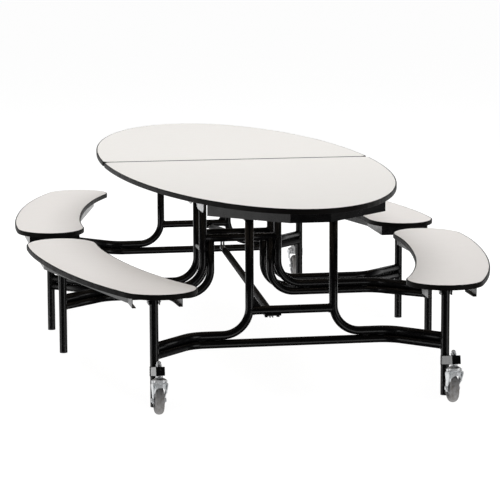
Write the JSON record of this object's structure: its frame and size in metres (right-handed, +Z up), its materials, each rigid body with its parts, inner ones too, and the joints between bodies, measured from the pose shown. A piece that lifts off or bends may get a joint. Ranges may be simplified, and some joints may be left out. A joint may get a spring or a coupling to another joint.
{
  "type": "folding cafeteria table with benches",
  "caption": "Elliptical folding table on a black tube frame with curved benches on both sides, a centre seam, telescopic stays and swivel casters.",
  "frame": {"origin": "on the floor, under the middle of the seam between the two table halves", "axes": "+X along the seam to the right, +Y along the table towards the rear half, +Z up"},
  "size_m": [1.79, 3.21, 0.737],
  "materials": {
    "laminate": "warm off-white laminate with a satin sheen over a particle board core",
    "edge_strip": "black moulded edge strip, soft sheen",
    "black_steel": "black powder coat over round steel tube, semi-gloss",
    "zinc_plate": "bright zinc-plated steel",
    "bright_fasteners": "bright plated bolts, nuts and domed stem nuts",
    "caster_steel": "bright zinc-plated pressed steel",
    "wheel_rubber": "mid-grey non-marking tread, matt",
    "glide_plastic": "black nylon, matt",
    "stay_rod_steel": "ground steel rod, satin"
  },
  "bodies": {
    "front_frame": {"front_post_tube_left": "black_steel", "front_post_tube_right": "black_steel", "front_caster_leg_left": "black_steel", "front_caster_leg_right": "black_steel", "front_lower_rail": "black_steel", "front_cross_rail": "black_steel", "front_frame_fasteners": "bright_fasteners"},
    "front_top": {"front_top_board": "laminate", "front_top_edge": "edge_strip", "front_top_underframe": "black_steel", "front_top_lock_plates": "zinc_plate"},
    "rear_frame": {"rear_post_tube_left": "black_steel", "rear_post_tube_right": "black_steel", "rear_caster_leg_left": "black_steel", "rear_caster_leg_right": "black_steel", "rear_lower_rail": "black_steel", "rear_cross_rail": "black_steel", "rear_frame_fasteners": "bright_fasteners"},
    "rear_top": {"rear_top_board": "laminate", "rear_top_edge": "edge_strip", "rear_top_underframe": "black_steel", "rear_top_lock_plates": "zinc_plate"},
    "centre_frame": {"centre_front_post_tube_left": "black_steel", "centre_front_post_tube_right": "black_steel", "centre_front_leg_left": "black_steel", "centre_front_leg_right": "black_steel", "centre_front_lower_frame": "black_steel", "centre_rear_post_tube_left": "black_steel", "centre_rear_post_tube_right": "black_steel", "centre_rear_leg_left": "black_steel", "centre_rear_leg_right": "black_steel", "centre_rear_lower_frame": "black_steel", "centre_link_tubes": "black_steel", "centre_leg_glides": "glide_plastic", "centre_frame_fasteners": "bright_fasteners"},
    "front_left_bench_body": {"front_left_bench_board": "laminate", "front_left_bench_edge": "edge_strip", "front_left_bench_underframe": "black_steel"},
    "front_right_bench_body": {"front_right_bench_board": "laminate", "front_right_bench_edge": "edge_strip", "front_right_bench_underframe": "black_steel"},
    "rear_left_bench_body": {"rear_left_bench_board": "laminate", "rear_left_bench_edge": "edge_strip", "rear_left_bench_underframe": "black_steel"},
    "rear_right_bench_body": {"rear_right_bench_board": "laminate", "rear_right_bench_edge": "edge_strip", "rear_right_bench_underframe": "black_steel"},
    "front_stay_sleeve_body": {"front_stay_sleeve": "black_steel"},
    "front_stay_rod_body": {"front_stay_rod": "stay_rod_steel"},
    "rear_stay_sleeve_body": {"rear_stay_sleeve": "black_steel"},
    "rear_stay_rod_body": {"rear_stay_rod": "stay_rod_steel"},
    "front_left_caster_body": {"front_left_caster_fork": "caster_steel"},
    "front_left_wheel_body": {"front_left_caster_wheel": "wheel_rubber"},
    "front_right_caster_body": {"front_right_caster_fork": "caster_steel"},
    "front_right_wheel_body": {"front_right_caster_wheel": "wheel_rubber"},
    "rear_left_caster_body": {"rear_left_caster_fork": "caster_steel"},
    "rear_left_wheel_body": {"rear_left_caster_wheel": "wheel_rubber"},
    "rear_right_caster_body": {"rear_right_caster_fork": "caster_steel"},
    "rear_right_wheel_body": {"rear_right_caster_wheel": "wheel_rubber"}
  },
  "joints": [
    {"name": "fold", "type": "hinge", "parent": "front_frame", "child": "front_top", "pos_m": [0, -1.168, 0.655], "axis": [1, 0, 0], "range_deg": [0, 87]},
    {"name": "centre_front_pivot", "type": "hinge", "parent": "front_top", "child": "centre_frame", "pos_m": [0, -0.079, 0.655], "axis": [1, 0, 0], "range_deg": [-87, 0]},
    {"name": "centre_rear_pivot", "type": "hinge", "parent": "centre_frame", "child": "rear_top", "pos_m": [0, 0.079, 0.655], "axis": [1, 0, 0], "range_deg": [-87, 0]},
    {"name": "rear_frame_pivot", "type": "hinge", "parent": "rear_top", "child": "rear_frame", "pos_m": [0, 1.168, 0.655], "axis": [1, 0, 0], "range_deg": [0, 87]},
    {"name": "front_left_bench_pivot", "type": "hinge", "parent": "front_frame", "child": "front_left_bench_body", "pos_m": [-0.535, -1.347, 0.39], "axis": [1, 0, 0], "range_deg": [0, 87]},
    {"name": "rear_left_bench_pivot", "type": "hinge", "parent": "rear_frame", "child": "rear_left_bench_body", "pos_m": [-0.535, 1.347, 0.39], "axis": [1, 0, 0], "range_deg": [-87, 0]},
    {"name": "front_right_bench_pivot", "type": "hinge", "parent": "front_frame", "child": "front_right_bench_body", "pos_m": [0.535, -1.347, 0.39], "axis": [1, 0, 0], "range_deg": [0, 87]},
    {"name": "rear_right_bench_pivot", "type": "hinge", "parent": "rear_frame", "child": "rear_right_bench_body", "pos_m": [0.535, 1.347, 0.39], "axis": [1, 0, 0], "range_deg": [-87, 0]},
    {"name": "front_stay_pivot", "type": "hinge", "parent": "front_frame", "child": "front_stay_sleeve_body", "pos_m": [-0.075, -1.136, 0.296], "axis": [1, 0, 0], "range_deg": [0, 84.09]},
    {"name": "front_stay_slide", "type": "slide", "parent": "front_stay_sleeve_body", "child": "front_stay_rod_body", "axis": [0, 0.9966, 0.082], "range_m": [0, 0.1143]},
    {"name": "rear_stay_pivot", "type": "hinge", "parent": "rear_frame", "child": "rear_stay_sleeve_body", "pos_m": [0.075, 1.136, 0.296], "axis": [1, 0, 0], "range_deg": [-84.09, 0]},
    {"name": "rear_stay_slide", "type": "slide", "parent": "rear_stay_sleeve_body", "child": "rear_stay_rod_body", "axis": [0, -0.9966, 0.082], "range_m": [0, 0.1143]},
    {"name": "front_left_caster_swivel", "type": "hinge", "parent": "front_frame", "child": "front_left_caster_body", "pos_m": [-0.535, -1.47768, 0.12373], "axis": [0, 0.1994, 0.9799], "continuous": true},
    {"name": "front_left_wheel_spin", "type": "hinge", "parent": "front_left_caster_body", "child": "front_left_wheel_body", "pos_m": [-0.535, -1.45282, 0.0508], "axis": [1, 0, 0], "continuous": true},
    {"name": "front_right_caster_swivel", "type": "hinge", "parent": "front_frame", "child": "front_right_caster_body", "pos_m": [0.535, -1.47768, 0.12373], "axis": [0, 0.1994, 0.9799], "continuous": true},
    {"name": "front_right_wheel_spin", "type": "hinge", "parent": "front_right_caster_body", "child": "front_right_wheel_body", "pos_m": [0.535, -1.45282, 0.0508], "axis": [1, 0, 0], "continuous": true},
    {"name": "rear_left_caster_swivel", "type": "hinge", "parent": "rear_frame", "child": "rear_left_caster_body", "pos_m": [-0.535, 1.47768, 0.12373], "axis": [0, -0.1994, 0.9799], "continuous": true},
    {"name": "rear_left_wheel_spin", "type": "hinge", "parent": "rear_left_caster_body", "child": "rear_left_wheel_body", "pos_m": [-0.535, 1.45282, 0.0508], "axis": [1, 0, 0], "continuous": true},
    {"name": "rear_right_caster_swivel", "type": "hinge", "parent": "rear_frame", "child": "rear_right_caster_body", "pos_m": [0.535, 1.47768, 0.12373], "axis": [0, -0.1994, 0.9799], "continuous": true},
    {"name": "rear_right_wheel_spin", "type": "hinge", "parent": "rear_right_caster_body", "child": "rear_right_wheel_body", "pos_m": [0.535, 1.45282, 0.0508], "axis": [1, 0, 0], "continuous": true}
  ],
  "couplings": [
    {"joint": "centre_front_pivot", "follows": "fold", "ratio": -1},
    {"joint": "centre_rear_pivot", "follows": "fold", "ratio": -1},
    {"joint": "rear_frame_pivot", "follows": "fold", "ratio": 1},
    {"joint": "front_left_bench_pivot", "follows": "fold", "ratio": 1},
    {"joint": "rear_left_bench_pivot", "follows": "fold", "ratio": -1},
    {"joint": "front_right_bench_pivot", "follows": "fold", "ratio": 1},
    {"joint": "rear_right_bench_pivot", "follows": "fold", "ratio": -1},
    {"joint": "front_stay_pivot", "follows": "fold", "ratio": 0.96639},
    {"joint": "front_stay_slide", "follows": "fold", "m_per_rad": 0.07521},
    {"joint": "rear_stay_pivot", "follows": "fold", "ratio": -0.96639},
    {"joint": "rear_stay_slide", "follows": "fold", "m_per_rad": 0.07521}
  ]
}
